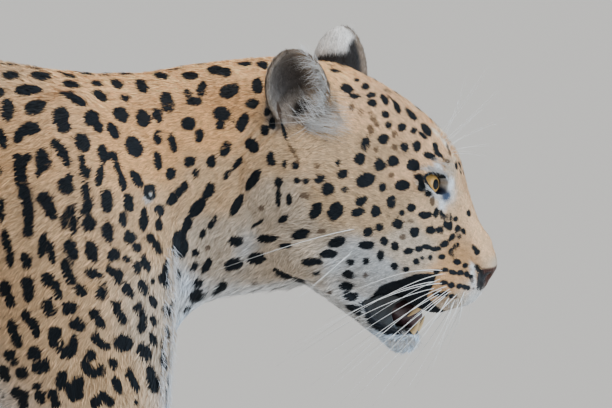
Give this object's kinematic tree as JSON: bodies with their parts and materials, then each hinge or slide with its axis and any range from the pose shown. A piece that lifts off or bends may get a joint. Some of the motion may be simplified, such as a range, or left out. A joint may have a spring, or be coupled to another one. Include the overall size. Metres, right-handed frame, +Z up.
{
  "type": "leopard model",
  "caption": "Life-size standing leopard in a slow walking stance, head held low and forward, mouth a little open, tail hanging in a curve with the tip raised.",
  "frame": {"origin": "middle of the bounding box at floor level, under the soles of the paws", "axes": "+X towards the animal's nose, +Z up, the animal's right side is -Y"},
  "size_m": [1.8128, 0.2782, 0.706],
  "materials": {
    "coat": "short fur, tawny with black spots and rosettes, white below",
    "eye": "wet gloss",
    "tongue": "moist, slightly rough",
    "tooth": "satin ivory"
  },
  "bodies": {
    "root": {"head": "coat", "jaw": "coat", "neck": "coat", "torso": "coat", "upper_arm_right": "coat", "upper_arm_left": "coat", "forearm_right": "coat", "forearm_left": "coat", "forepaw_right": "coat", "forepaw_left": "coat", "thigh_right": "coat", "thigh_left": "coat", "shank_right": "coat", "shank_left": "coat", "hindpaw_right": "coat", "hindpaw_left": "coat", "tail_root": "coat", "tail_middle": "coat", "tail_tip": "coat", "ear_right": "coat", "ear_left": "coat", "eye_right": "eye", "eye_left": "eye", "tongue": "tongue", "canine_upper_right": "tooth", "canine_upper_left": "tooth", "canine_lower_right": "tooth", "canine_lower_left": "tooth"}
  },
  "joints": []
}
